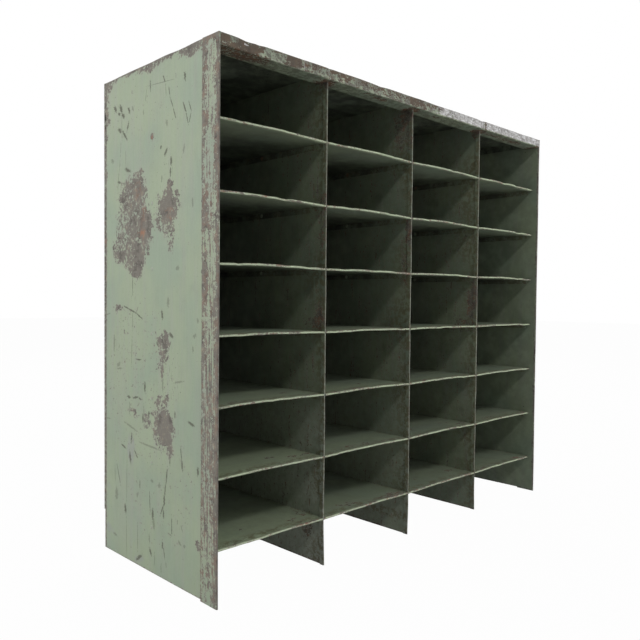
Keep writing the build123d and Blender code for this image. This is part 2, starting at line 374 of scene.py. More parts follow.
# Scratches and small chips: (y, z) of one end, how far along y and z, and half the width.
LEFT_SCRATCHES = [
    (-44, 860, -4, -20, 1.3), (-48, 841, -10, -20, 1.2), (-58, 820, -8, -18, 1.2),
    (-88, 824, -9, -18, 1.7), (-96, 808, -8, -24, 1.3), (-105, 822, -7, -16, 1.2),
    (-112, 804, 6, -16, 1), (17, 884, -1, -20, 1.8), (-25, 884, -8, -16, 1.7), (-93, 871, -1, -10, 3),
    (148, 860, -6, -7, 4), (125, 857, -5, -10, 4.6), (132, 846, -5, -3, 3), (118, 842, -7, -6, 4),
    (94, 848, -4, -8, 3.4), (131, 815, -7, -4, 4), (117, 810, -17, -18, 3), (94, 822, 6, -14, 2.6),
    (106, 738, -16, -6, 3.6), (134, 717, -8, -2, 2.6), (-38, 754, 6, -9, 3.2), (-52, 737, 0, -11, 3),
    (-50, 719, 1, -11, 3), (-19, 761, 0, -3, 2.6), (-22, 474, -2, -13, 3.2), (-48, 435, -8, -4, 3.6),
    (-6, 417, -5, -4, 3), (112, 481, -18, -4, 1.6), (95, 477, -29, -8, 1.8), (66, 469, -20, -9, 1.6),
    (68, 384, -21, 0, 1.6), (80, 540, -1, -42, 1.1), (35, 343, 0, -15, 3), (96, 312, -8, -2, 2.8),
    (78, 311, -18, 3, 2.4), (56, 313, -8, -2, 1.8), (20, 290, 2, -4, 3.4), (42, 284, 0, -13, 2.6),
    (-64, 302, 0, -10, 2), (-106, 290, -16, -4, 2.8), (-82, 244, -4, -22, 1.5),
    (-86, 222, -2, -16, 2.8), (82, 243, 2, -17, 2.6), (122, 218, -16, -5, 2.2),
    (72, 214, -11, -12, 1.9), (89, 206, -3, -18, 3.6), (-49, 228, 0, -20, 1.8), (-41, 202, 4, -30, 2),
    (-36, 174, 4, -26, 1.9), (-31, 149, 0, -15, 3), (-29, 134, 10, -20, 1.9), (-29, 124, 0, -14, 2.4),
    (7, 118, 0, -19, 3.6), (18, 150, -2, -42, 1.3), (52, 162, 0, -19, 1.5), (139, 177, -15, -39, 1.2),
    (106, 102, -2, -12, 4.2), (-55, 118, -1, -35, 1.4), (-26, 68, 0, -12, 2.2),
    (-30, 56, -4, -18, 1.4), (17, 44, -5, -10, 3), (62, 12, -14, 10, 3.6), (-134, 216, 0, -9, 3.6),
]
LEFT_FAINT = [
    (30, 875, -92, -7, 0.9), (-33, 868, -3, -22, 1.2), (27, 876, 9, -34, 1), (120, 840, -1, -48, 1.2),
    (123, 792, 2, -28, 1.2), (127, 756, 2, -18, 1.2), (132, 734, 4, -34, 1.4),
    (105, 772, 0, -28, 1.2), (80, 848, -3, -6, 3), (-38, 801, 0, -4, 4), (40, 833, 0, -6, 2.4),
    (158, 761, -4, -3, 4), (-92, 752, 2, -10, 3), (-117, 661, 0, -12, 2.4), (-22, 709, 1, -8, 2.6),
    (79, 472, -1, -34, 1.4), (80, 430, 3, -60, 1.4), (190, 462, -26, 5, 1.6), (-73, 549, 3, -1, 4),
    (-42, 496, 0, -12, 4), (-131, 462, 0, -4, 3), (-124, 436, 3, -2, 3.6), (-118, 416, 0, -7, 2.6),
    (128, 371, 6, -3, 4), (120, 363, 16, -2, 2), (149, 424, 0, -28, 3), (-25, 358, 0, -25, 2.6),
    (90, 304, 0, -28, 1.4), (39, 304, -1, -36, 1.4), (190, 260, -24, 1, 1.8),
    (147, 174, -2, -34, 1.2), (100, 198, 1, -98, 1.1), (102, 90, -1, -90, 1.1), (62, 130, -4, 6, 3),
    (60, 84, 0, -62, 1.3), (139, 126, 1, -14, 6), (-16, 166, 2, -2, 4), (12, 168, -4, 0, 3),
    (-44, 87, -13, -2, 1.4), (-78, 81, -6, -4, 2.6), (-84, 110, -6, -10, 1.4), (-74, 118, 1, -8, 1.6),
    (4, 98, -1, -14, 4), (18, 68, 0, -12, 2.6), (0, 42, 0, -24, 1.4), (-37, 36, -2, -12, 1.4),
    (-22, 26, 0, -14, 1.6), (150, 38, -10, -1, 3), (-96, 78, 2, -2, 3), (60, 232, -80, -4, 2),
    (110, 262, -50, -12, 2.2), (-60, 352, -30, 5, 2),
]
RIGHT_PATCHES = [
    (40, 700, 40, 52, 0.4, 20), (70, 650, 28, 40, 0.2), (-60, 520, 22, 46, 0.5, 8),
    (-20, 260, 36, 50, 0.5, -10), (110, 180, 18, 40, 0.1), (-90, 120, 14, 30, 0.3),
    (120, 800, 26, 18, 0.1, 10), (20, 420, 10, 40, 0.2), (150, 420, 12, 24, 0.3),
    (90, 60, 16, 22, 0.2), (-120, 700, 9, 30, 0.1), (70, 906, 60, 9, 0.3), (-60, 906, 40, 10, 0.3),
    (186, 560, 9, 24, 0.3), (184, 880, 14, 30, 0.3),
]
RIGHT_ORANGE = [
    (46, 676, 18, 30, 1), (-20, 250, 16, 24, 0.8),
]
RIGHT_SCRATCHES = [
    (-40, 850, -6, -120, 1.3), (90, 640, -6, -140, 1.1), (60, 420, 6, -110, 1.3),
    (-80, 420, -2, -150, 1.2), (10, 190, -10, -100, 1.3), (130, 370, 0, -130, 1.1),
    (-30, 640, 50, -70, 1.4), (100, 780, -16, -60, 1.2), (-100, 640, 4, -40, 3),
    (140, 560, -8, -12, 4), (30, 560, -6, -20, 3.6), (-50, 100, -6, -40, 2.4),
    (60, 150, -4, -22, 3.4), (-110, 300, 10, -10, 3.8), (0, 830, 12, -6, 3.2),
    (150, 700, -4, -40, 1.8),
]
RIGHT_FAINT = [
    (-10, 800, -2, -140, 1.4), (120, 520, -2, -120, 1.4), (-60, 240, -2, -110, 1.4),
    (40, 330, -2, -80, 1.6), (80, 250, -60, -4, 2), (-90, 500, 50, -30, 1.6),
    (160, 150, -2, -90, 1.4), (100, 840, -60, -20, 1.6),
]


def side_panel(name, node, mirrored, seed, material, spots, orange, pale, dents=()):
    """Rear flange, plain sheet, and a hem folded outwards over the front edge."""
    middle = -(SIDE_OUTSIDE + SIDE_INSIDE) / 2
    rear = BACK_INSIDE - SIDE_SHEET / 2
    nose = FRONT + SIDE_SHEET / 2
    hem_edge = FRONT + SIDE_HEM
    flange_top = HEIGHT - REAR_FLANGE - FLANGE_GAP
    fold_radius = SIDE_STEP / 2 - SIDE_FOLD_SLACK
    points = [
        (-SIDE_INSIDE + REAR_FLANGE, rear), (middle, rear), (middle, nose),
        (middle - SIDE_STEP, nose), (middle - SIDE_SHEET - SIDE_HEM_GAP, hem_edge),
    ]
    along = stations(0.0, HEIGHT, 4.0, (SIDE_LIFT, flange_top))

    def keep(x, y, z):
        lifted = (y > hem_edge) & (z < SIDE_LIFT)
        under_top = (x > -SIDE_INSIDE) & (z > flange_top)
        return ~(lifted | under_top)

    sheet = folded_sheet(points, [BEND, fold_radius, fold_radius], [5.0, 4.0, 1.0, 4.0], SIDE_SHEET,
                         along, "xyz", nose=(middle - SIDE_STEP / 2, nose), keep=keep)
    sway = ripple(seed, 320)
    waver = ripple(seed + 1, 60)

    def wear(sheet):
        x, y, z = sheet.places.T
        outside = sheet.facing[:, 0] < -0.5
        hem = outside & (x < -SIDE_OUTSIDE - SIDE_SHEET)
        plain = outside & ~hem & (y > hem_edge - 2)
        from_top = HEIGHT - z
        drips = 5.0 + 3.5 * ripple(seed + 2, 34)(y)
        from_rivet = np.hypot(y - RUSTY_RIVET[0], 0.75 * (z - RUSTY_RIVET[1]))
        rot = worst(
            only(plain, worst(
                patches(y, z, spots, seed + 3),
                near(from_rivet, 7.0, 0.9),
                near(from_top, drips * 1.6, 0.5),
                near(BACK_INSIDE - y, 7.0, 0.3),
                near(z - SIDE_LIFT, 2.2, 0.3))),
            only(plain | hem, near(np.abs(y - hem_edge), 4.5, 0.45)),
            only(hem, patches(y, z, HEM_PATCHES, seed + 5, 2.0)),
            only(hem, near(from_top, 16.0, 0.6)),
            only(~outside, near(sheet.rim, 7.0, 0.2)))
        streaks = np.interp(z, *HEM_STREAKS) + 0.35 * np.exp(-(y - FRONT) / 5)
        drag = worst(only(hem, streaks), near(sheet.fold, 7.0, 0.25), only(plain, -0.62))
        warm = np.clip(patches(y, z, orange, seed + 7), 0, 1) * outside
        return {
            "rot": rot, "drag": drag, "warm": np.maximum(warm, 0.25 * hem),
            "pale": np.clip(patches(y, z, pale, seed + 9), 0, 1) * plain,
            # Painted shade on the inner face, darker toward the back.
            "dirt": np.where(outside, 0.0, np.interp(y, [FRONT, BACK_INSIDE], [0.22, 0.5])),
            "outer": plain,
        }

    def shape(p):
        y, z = p[:, 1].copy(), p[:, 2].copy()
        p[:, 0] += 0.55 * sway(y, z)
        near_top = np.exp(-(HEIGHT - z) / 12)
        p[:, 2] += 0.5 * near_top * (waver(y, z) - 1)
        on_hem = (p[:, 0] < middle - SIDE_SHEET / 2 - 0.1) & (y < hem_edge + 1)
        toward_edge = np.clip((y - FRONT) / SIDE_HEM, 0, 1) ** 2
        p[on_hem, 1] += (0.7 * waver(z) * toward_edge)[on_hem]
        for centre, radii, push in dents:
            p = dent(p, centre, radii, push)
        if mirrored:
            p[:, 0] *= -1
        return p

    make_piece(name, sheet, material, node, wear, shape)


# ------ the top
FASCIA_RUST = [
    (-497, 903, 16, 14, 0.4), (-470, 898, 24, 9, 0.3), (-444, 906, 26, 12, 0.6),
    (-345, 906, 19, 14, 0.6), (-300, 910, 24, 6, 0.1), (-230, 910, 34, 6, 0.25),
    (-150, 908, 50, 7, 0.1), (-70, 909, 40, 6, 0.2), (0, 906, 36, 12, 0.3), (60, 909, 44, 6, 0.2),
    (255, 905, 9, 14, 0.6), (300, 912, 30, 4, 0.1), (420, 911, 30, 4, 0.1), (500, 904, 12, 14, 0.2),
]
# How bare the steel of the fascia is, by x.
FASCIA_BARE = ([-509, -330, -60, 20, 60, 110, 200, 240, 252, 264, 480, 509],
               [-1.0, -1.0, -0.6, -0.2, -0.05, 0.25, 0.45, 0.45, -0.3, 0.55, 0.40, 0.1])
FASCIA_KNOCKS = [
    (-452, 908, 6, 2, 0.4, -12), (-325, 905, 1.8, 12, 0.3), (-262, 904, 2.2, 13, 0.35, 8),
]
TOP_RUST = [
    (-380, 40, 60, 50, 0.5), (-150, 120, 90, 40, 0.3, 10), (120, -60, 70, 60, 0.5, 30),
    (330, 90, 110, 60, 0.2), (430, -120, 60, 50, 0.4), (-40, -130, 120, 26, 0.1),
    (240, 150, 60, 30, 0.3), (-460, 130, 40, 60, 0.2), (-250, -60, 50, 34, 0.05, -20),
]
UNDER_RUST = [
    (-460, -174, 60, 22, 0.2), (-436, -170, 26, 10, 0.4), (-498, -170, 14, 26, 0.5),
    (-147, -180, 16, 5, 0.1), (-105, -176, 18, 7, 0.15), (80, -174, 12, 7, 0.1),
    (407, -172, 26, 9, 0.15), (500, -168, 14, 20, 0.4), (330, -172, 70, 8, 0.0),
]


def top_panel(material):
    """Fascia with a return flange under it, the flat top, and the flanges inside the case."""
    half = SHEET / 2
    points = [
        (RETURN_BACK, FASCIA_BOTTOM + half), (FRONT + half, FASCIA_BOTTOM + half),
        (FRONT + half, HEIGHT - half), (FRONT + TOP_FINE, HEIGHT - half),
        (BACK_INSIDE - half, HEIGHT - half), (BACK_INSIDE - half, HEIGHT - REAR_FLANGE),
    ]
    along = stations(-SIDE_INSIDE, SIDE_INSIDE, 4.0)
    sheet = folded_sheet(points, [BEND, BEND, 0, BEND], [5.0, 2.5, 4.0, 9.0, 6.0], SHEET, along, "yzx",
                         nose=(FRONT + half, HEIGHT - half))
    depth = stations(RETURN_BACK + 1, BACK_INSIDE - 3, 12.0)
    for side in (-1, 1):
        x = side * (SIDE_INSIDE - half)
        flange = [(x, HEIGHT - REAR_FLANGE), (x, HEIGHT - SHEET)]
        sheet = sheet.joined(folded_sheet(flange, [], [6.0], SHEET, depth, "xzy"))
    sway = ripple(31, 260)
    waver = ripple(32, 70)
    beside_dividers = [(divider_x(i), RETURN_BACK - 16, 20, 20, 0.4) for i in range(1, COLUMNS)]

    def wear(sheet):
        x, y, z = sheet.places.T
        upward, downward = sheet.facing[:, 2] > 0.7, sheet.facing[:, 2] < -0.7
        forward = sheet.facing[:, 1] < -0.5
        lid = upward & (z > HEIGHT - 1)
        under = downward & (z < FASCIA_BOTTOM + 1)
        rot = worst(
            only(lid, worst(
                patches(x, y, TOP_RUST, 33, 6.0, 26.0),
                near(sheet.fold, 26.0, 0.35),
                near(SIDE_INSIDE - np.abs(x), 12.0, 0.3))),
            only(forward, patches(x, z, FASCIA_RUST, 35, 3.0)),
            only(forward, near(HEIGHT - z, 3.0, 0.1)),
            only(under, patches(x, y, UNDER_RUST + beside_dividers, 37, 4.0)))
        bare = worst(
            only(forward & (z > FASCIA_BOTTOM + 2.0), np.interp(x, *FASCIA_BARE)),
            only(forward, patches(x, z, FASCIA_KNOCKS, 39, 1.0)),
            only(lid, near(sheet.fold, 9.0, -0.05)))
        streaks = np.interp(x, [-430, -40, 90], [-0.15, -0.02, -0.4])
        rubbed = np.interp(z - FASCIA_BOTTOM, [3, 7, 14], [0.75, 0.3, 0.0])
        return {
            "rot": rot, "drag": only(forward, streaks), "bare": bare,
            "warm": np.where(under, 0.7, 0.25),
            "pale": forward * rubbed,
            # Soot on the fascia and under its flange; painted shade on the ceiling and the flanges
            # inside the case.
            "dirt": np.select([forward, under, upward], [0.35, 0.15, 0.0], 0.7),
            "brown": np.select([forward, under], [0.85, 0.6], 0.1),
        }

    def shape(p):
        x, y = p[:, 0].copy(), p[:, 1].copy()
        flat = np.clip((y - FRONT - 30) / 60, 0, 1) * np.clip((SIDE_INSIDE - np.abs(x)) / 40, 0, 1)
        p[:, 2] += 0.35 * flat * (1 + sway(x, y)) * (p[:, 2] > HEIGHT - 5)
        front = np.exp(-(y - FRONT) / 10) * np.clip((SIDE_INSIDE - np.abs(x)) / 30, 0, 1)
        p[:, 2] += 0.35 * front * waver(x)
        p[:, 1] += 0.45 * front * (1 + waver(x + 500))
        top_edge = (FRONT, HEIGHT)
        for centre, radii, push in (
                ((-448, *top_edge), (17, 14, 11), (0, 2.2, -1.4)),
                ((-424, *top_edge), (8, 9, 7), (0, 1.6, -0.6)),
                ((-327, FRONT, HEIGHT - 8), (3, 6, 12), (0, 1.0, 0)),
                ((-262, FRONT, HEIGHT - 8), (5, 6, 12), (0, 1.3, 0)),
                ((-120, *top_edge), (14, 9, 8), (0, 1.0, -0.8)),
                ((236, *top_edge), (10, 8, 7), (0, 1.0, -0.9)),
                ((127, 60, HEIGHT), (80, 70, 8), (0, 0, -1.3))):
            p = dent(p, centre, radii, push)
        return p

    make_piece("top_sheet", sheet, material, "top_panel", wear, shape)


# ------ the back
BACK_RUST = [
    (-300, 700, 90, 60, 0.3), (140, 300, 60, 90, 0.4, 10), (380, 820, 70, 40, 0.2),
    (-90, 130, 120, 30, 0.2), (300, 560, 30, 60, 0.5), (-420, 240, 36, 70, 0.1),
    (60, 780, 40, 24, 0.05), (-180, 420, 26, 50, 0.1, 12), (430, 140, 40, 50, 0.3),
]


def back_panel(material):
    """One flat sheet, a little dished between its seams."""
    y = (BACK_LOW[1] + BACK_HIGH[1]) / 2
    points = [(BACK_LOW[0], y), (BACK_HIGH[0], y)]
    along = stations(BACK_LOW[2], BACK_HIGH[2], 9.0)
    sheet = folded_sheet(points, [], [9.0], SHEET, along, "xyz")
    sway = ripple(41, 300)

    def wear(sheet):
        x, _, z = sheet.places.T
        rear = sheet.facing[:, 1] > 0.5
        spread = worst(patches(x, z, BACK_RUST, 43, 6.0, 26.0), near(sheet.rim, 14.0, 0.35))
        from_seam = np.abs(x - COLUMN_PITCH * np.round(x / COLUMN_PITCH))
        # Grey dust on the inner face, made paler toward the lower left as painted light in the lowest
        # pigeonholes.
        painted_light_low_left = np.clip((420 - z - x) / 500, 0, 1)
        return {
            "rot": worst(only(rear, spread), near(sheet.rim, 6.0, 0.1)),
            "drag": only(rear, worst(near(from_seam, 20.0, -0.2), -0.5)),
            "pale": ~rear * (0.55 + 0.45 * painted_light_low_left),
            "warm": 0.5,
        }

    def shape(p):
        seam = np.abs(np.sin(math.pi * p[:, 0] / COLUMN_PITCH))
        p[:, 1] -= seam * (0.5 + 0.4 * sway(p[:, 0], p[:, 2]))
        return p

    make_piece("back_sheet", sheet, material, "back_panel", wear, shape)


# ------ the dividers
# Pale dust on the lower dividers, most at the left, partly painted light that brightens the lowest
# pigeonholes.
DIVIDER_DUST_AND_LIGHT = {1: 0.75, 2: 0.30, 3: 0.0}  # near the floor
DIVIDER_RUST = {
    1: [(-160, 462, 14, 24, 0.3), (-140, 455, 26, 10, 0.0), (-168, 892, 12, 8, 0.4),
        (-130, 60, 16, 20, 0.1), (-165, 640, 10, 50, -0.05)],
    2: [(-140, 862, 14, 44, 0.05), (-160, 884, 14, 22, 0.2), (-164, 840, 10, 26, -0.05),
        (-168, 640, 8, 40, 0.2), (-160, 560, 12, 30, -0.05)],
    3: [(-166, 520, 10, 30, 0.3), (-160, 490, 14, 40, 0.2), (-166, 890, 12, 8, 0.4),
        (-140, 440, 24, 14, 0.0)],
}


def divider(index, material):
    """An upright sheet, folded to the left along its front and to the right along its back."""
    x0 = divider_x(index)
    rear = BACK_INSIDE - SHEET / 2
    nose = INNER_FRONT + SHEET / 2
    fold_radius = DIVIDER_STEP / 2 - DIVIDER_FOLD_SLACK
    points = [
        (x0 + SHEET / 2 + REAR_FLANGE, rear), (x0, rear), (x0, INNER_FRONT + DIVIDER_FINE),
        (x0, nose), (x0 - DIVIDER_STEP, nose), (x0 - DIVIDER_STEP, INNER_FRONT + DIVIDER_HEM),
    ]
    under_top = HEIGHT - SHEET
    flange_top = HEIGHT - REAR_FLANGE - FLANGE_GAP
    along = stations(0.0, under_top, 6.0, (BACK_BOTTOM, flange_top, FASCIA_BOTTOM))

    def keep(x, y, z):
        flange = (x > x0 + SHEET) & ((z < BACK_BOTTOM) | (z > flange_top))
        bend = (y > SHELF_BACK) & (z > flange_top)
        mouth = (y < RETURN_BACK) & (z > FASCIA_BOTTOM)
        return ~(flange | bend | mouth)

    sheet = folded_sheet(points, [BEND, 0, fold_radius, fold_radius], [6.0, 12.0, 5.0, 1.0, 4.0],
                         SHEET, along, "xyz", nose=(x0 - DIVIDER_STEP / 2, nose), keep=keep)
    depth = stations(RETURN_BACK + 1, SHELF_BACK, 12.0)
    cap_start, cap_z = x0 + SHEET / 2, under_top - SHEET / 2
    cap = [(cap_start, cap_z), (cap_start + DIVIDER_CAP, cap_z)]
    sheet = sheet.joined(folded_sheet(cap, [], [6.0], SHEET, depth, "xzy"))
    sway = ripple(50 + index, 240)
    waver = ripple(60 + index, 90)
    creep = ripple(70 + index, 130)

    def wear(sheet):
        _, y, z = sheet.places.T
        from_front = y - INNER_FRONT
        inwards = 34.0 + 22.0 * creep(z)
        # Pale dust and painted light toward the floor.
        dust_and_light = DIVIDER_DUST_AND_LIGHT[index] * np.clip((380 - z) / 200, 0, 1)
        # Painted shade with some soot, darker deeper into the pigeonhole.
        deep_soot_shade = np.interp(from_front, [0, 120, 360], [0.05, 0.15, 0.55]) * (1 - dust_and_light)
        return {
            "rot": worst(
                patches(y, z, DIVIDER_RUST[index], 73 + index, 5.0),
                -0.32 - 0.5 * np.clip(from_front / inwards, 0, 2),
                near(z, 5.0, 0.2),
                near(sheet.fold, 5.0, -0.4)),
            "drag": near(sheet.fold, 12.0, -0.5),
            "pale": dust_and_light,
            "warm": 0.55,
            "dirt": worst(deep_soot_shade, near(from_front, 5.0, 0.5)),
            "brown": np.clip(1.1 - from_front / (1.6 * inwards), 0.2, 0.9),
        }

    def shape(p):
        y, z = p[:, 1].copy(), p[:, 2].copy()
        p[:, 0] += 0.3 * sway(y, z)
        p[:, 0] += 0.5 * np.exp(-(y - INNER_FRONT) / 14) * waver(z)
        leg = np.clip((BOTTOM_SHELF - z) / BOTTOM_SHELF, 0, 1) ** 2
        p[:, 0] += leg * 1.6 * math.sin(index * 2.1)
        return p

    node = f"divider_{index}"
    make_piece(node + "_sheet", sheet, material, node, wear, shape)


# ------ the shelves
# Pale dust on the lowest shelves at the left, partly painted light that brightens those pigeonholes.
SHELF_DUST_AND_LIGHT = {1: 0.7, 2: 0.2}  # by column, in the lowest rows


def shelf(row, column, crown, material):
    """Arched plate with its front edge rolled under and its other edges turned down."""
    top = shelf_z(row)
    low, high = column_x(column) - SHELF_WIDTH / 2, column_x(column) + SHELF_WIDTH / 2
    half = SHEET / 2
    fold_radius = (SHELF_EDGE - SHEET) / 2 - SHELF_FOLD_SLACK
    points = [
        (INNER_FRONT + SHELF_HEM, top - SHELF_EDGE + half),
        (INNER_FRONT + half, top - SHELF_EDGE + half), (INNER_FRONT + half, top - half),
        (INNER_FRONT + SHELF_FINE, top - half), (SHELF_BACK - half, top - half),
        (SHELF_BACK - half, top - SHELF_FLANGE),
    ]
    along = stations(low, high, 5.0, (high - NOTCH,))

    def keep(y, z, x):
        return ~((x > high - NOTCH) & (y < INNER_FRONT + SHELF_HEM + 0.5))

    sheet = folded_sheet(points, [fold_radius, fold_radius, 0, BEND], [6.0, 2.0, 4.0, 16.0, 11.0],
                         SHEET, along, "yzx", nose=(INNER_FRONT + half, top - SHELF_EDGE / 2),
                         keep=keep)
    depth = stations(INNER_FRONT + SHELF_FLANGE_START, SHELF_BACK - SHEET, 16.0)
    for x in (low + half, high - half):
        flange = [(x, top - SHELF_FLANGE), (x, top - SHEET - 0.05)]
        sheet = sheet.joined(folded_sheet(flange, [], [11.0], SHEET, depth, "xzy"))
    seed = 100 + 10 * row + column
    rng = np.random.default_rng(seed)
    waver = ripple(seed, 110)
    knocks = [(rng.uniform(low + 20, high - 20), rng.uniform(5, 14), rng.uniform(0.4, 1.3))
              for _ in range(3)]
    sag = crown * rng.uniform(0.85, 1.15)
    peak = rng.uniform(-0.12, 0.12)
    # Pale dust and painted light on the lowest shelves at the left.
    dust_and_light = SHELF_DUST_AND_LIGHT.get(column, 0.0) * min(max((row - 4) / 2, 0.0), 1.0)
    stains = []
    for _ in range(4):
        place = rng.uniform(low, high), INNER_FRONT + rng.uniform(0, 60)
        size = rng.uniform(6, 26), rng.uniform(3, 9)
        lean, solid = rng.uniform(-20, 20), rng.uniform(-0.1, 0.25)
        stains.append((*place, *size, solid, lean))

    def wear(sheet):
        x, y, _ = sheet.places.T
        upward = sheet.facing[:, 2] > 0.5
        from_end = np.minimum(x - low, high - x)
        from_front = y - INNER_FRONT
        front = np.clip(1 - from_front / 24, 0, 1)
        # Painted shade with some soot, darker deeper in, and more under the shelf than on it.
        soot_shade_above = np.interp(from_front, [30, 150, 330], [0.0, 0.4, 0.7])
        soot_shade_below = np.interp(from_front, [12, 120, 330], [0.0, 0.6, 0.8])
        return {
            "rot": worst(
                only(upward, patches(x, y, stains, seed, 4.0)),
                near(from_end, 9.0, 0.15) * front - (1 - front),
                near(from_end, 5.0, -0.2)),
            "drag": near(sheet.fold, 16.0, -0.12),
            "bare": near(sheet.fold, 3.6, -0.30),
            "pale": worst(np.clip(1.3 - sheet.fold / 4.0, 0, 0.8),
                          dust_and_light * upward * np.clip(1.5 - from_front / 110, 0, 1)),
            "warm": 0.5,
            "dirt": np.where(upward, soot_shade_above, soot_shade_below) * (1 - 0.6 * dust_and_light),
            "brown": worst(np.clip(1 - np.abs(from_front - 12) / 16, 0, 0.8) * upward,
                           np.clip(0.9 - from_end / 14, 0.1, 0.8)),
        }

    def shape(p):
        across = np.clip((p[:, 0] - (low + high) / 2) / (SHELF_WIDTH / 2), -1, 1)
        arch = 1 - across ** 2
        p[:, 2] += sag * arch * (1 + peak * across)
        front = np.exp(-(p[:, 1] - INNER_FRONT) / 30)
        p[:, 2] += 0.45 * front * arch * waver(p[:, 0])
        p[:, 1] += 0.35 * front * arch * waver(p[:, 0] + 300)
        for x, radius, depth_of_knock in knocks:
            push = (0, 0.7 * depth_of_knock, -depth_of_knock)
            p = dent(p, (x, INNER_FRONT, top + sag), (radius, 9, 7), push)
        return p

    node = f"shelf_row_{row}_column_{column}"
    make_piece(node + "_sheet", sheet, material, node, wear, shape)


# ------ shader building
class Graph:
    """The node tree of a new material or world, with short calls for the nodes it needs."""

    def __init__(self, owner):
        owner.use_nodes = True
        self.owner, self.tree = owner, owner.node_tree
        self.tree.nodes.clear()
        self.metres = self.node("TexCoord").outputs["Object"]
        self.place = self.vector("SCALE", self.metres, scale=1 / MM)

    def node(self, kind, feeds=None, **settings):
        """A new node; feeds gives a value or another node's output for each input named."""
        made = self.tree.nodes.new("ShaderNode" + kind)
        for key, value in settings.items():
            setattr(made, key, value)
        for key, value in (feeds or {}).items():
            self.feed(made.inputs[key], value)
        return made

    def feed(self, socket, value):
        if isinstance(value, bpy.types.NodeSocket):
            self.tree.links.new(value, socket)
        else:
            socket.default_value = value

    def math(self, operation, a, b):
        return self.node("Math", {0: a, 1: b}, operation=operation).outputs[0]

    def add(self, *values):
        result = values[0]
        for value in values[1:]:
            result = self.math("ADD", result, value)
        return result

    def less(self, a, b):
        return self.math("SUBTRACT", a, b)

    def times(self, a, b):
        return self.math("MULTIPLY", a, b)

    def most(self, a, b):
        return self.math("MAXIMUM", a, b)

    def swing(self, noise, amount):
        """Noise centred on 0, its usual reach about a quarter of the amount."""
        return self.times(self.less(noise, 0.5), amount)

    def vector(self, operation, a, b=(0, 0, 0), scale=1.0):
        made = self.node("VectorMath", {0: a, 1: b, 3: scale}, operation=operation)
        return made.outputs[1 if operation == "LENGTH" else 0]

    def noise(self, size, detail=3.0, rough=0.55, shift=0.0):
        """Noise whose features are about size mm across; size may differ along x, y and z."""
        size = size if isinstance(size, tuple) else (size,) * 3
        scaled = self.node("Mapping", {
            "Vector": self.metres, "Scale": [1 / (one * MM) for one in size],
            "Location": (shift, 1.7 * shift, 2.9 * shift)}, vector_type="POINT")
        return self.node("TexNoise", {
            "Vector": scaled.outputs[0], "Scale": 1.0, "Detail": detail,
            "Roughness": rough}).outputs["Fac"]

    def step(self, value, low, high, to_low=0.0, to_high=1.0):
        """Smoothly rises from to_low to to_high as the value goes from low to high."""
        return self.node("MapRange", {
            "Value": value, "From Min": low, "From Max": high, "To Min": to_low,
            "To Max": to_high}, interpolation_type="SMOOTHSTEP").outputs["Result"]

    def blend(self, amount, a, b, kind="MIX"):
        made = self.node("Mix", {0: amount}, data_type="RGBA", blend_type=kind)
        colours = [socket for socket in made.inputs if socket.type == "RGBA"]
        for socket, colour in zip(colours, (a, b)):
            self.feed(socket, (*colour, 1) if isinstance(colour, tuple) else colour)
        return next(socket for socket in made.outputs if socket.type == "RGBA")

    def grey(self, value):
        return self.node("CombineColor", {0: value, 1: value, 2: value}).outputs[0]

    def worn(self, name):
        """One of the fields of wear that the piece's mesh carries."""
        return self.node("Attribute", attribute_name=name).outputs["Fac"]

    def scratched(self, scratches, ragged, faint=1.0):
        """faint inside scratches on a side panel, and 0 outside them."""
        nearest = 9.0
        for y, z, along_y, along_z, half_width in scratches:
            middle = Vector((0, y + along_y / 2, z + along_z / 2))
            half_length = math.hypot(along_y, along_z) / 2 + half_width
            upright = self.node("VectorRotate", {
                "Vector": self.place, "Center": middle,
                "Angle": math.atan2(along_y, along_z)}, rotation_type="X_AXIS")
            away = self.vector("SUBTRACT", upright.outputs[0], middle)
            reach = self.vector("MULTIPLY", away, (0, 1 / half_width, 1 / half_length))
            nearest = self.math("MINIMUM", nearest, self.vector("LENGTH", reach))
        return self.step(self.add(nearest, ragged), 0.55, 1.15, faint, 0.0)

    def finish(self, colour, roughness, metallic, height, relief):
        bump = self.node("Bump", {"Strength": relief, "Distance": MM, "Height": height})
        surface = self.node("BsdfPrincipled", {
            "Base Color": colour, "Roughness": roughness, "Metallic": metallic,
            "Normal": bump.outputs[0]})
        self.node("OutputMaterial", {"Surface": surface.outputs[0]})
        return self.owner


# ------ the finishes
GREEN = (0.281, 0.350, 0.257)
YELLOW_GREEN = (0.303, 0.361, 0.248)
GREY_GREEN = (0.305, 0.330, 0.272)
THIN_GREEN = (0.385, 0.455, 0.300)
DIRT_AND_SHADE = (0.075, 0.075, 0.052)
BROWNED = (0.165, 0.150, 0.085)
BLACKENED = (0.075, 0.068, 0.045)
RUST_DARK = (0.095, 0.084, 0.073)
RUST_GREY = (0.165, 0.152, 0.129)
RUST_TAN = (0.250, 0.222, 0.170)
RUST_ORANGE = (0.300, 0.140, 0.080)
PRIMER = (0.300, 0.288, 0.248)
SCRATCH = (0.085, 0.085, 0.062)
LAVENDER = (0.255, 0.250, 0.275)
SOOT_AND_SHADE = (0.050, 0.048, 0.044)
# Pale dust colours; on the dividers and the back they also paint light into the lowest pigeonholes.
DUST_AND_LIGHT = (0.43, 0.46, 0.40)
GREY_DUST_AND_LIGHT = (0.47, 0.46, 0.46)
BARE_STEEL = (0.74, 0.75, 0.76)
DULL_STEEL = (0.42, 0.41, 0.40)
PITTED_STEEL = (0.20, 0.19, 0.18)


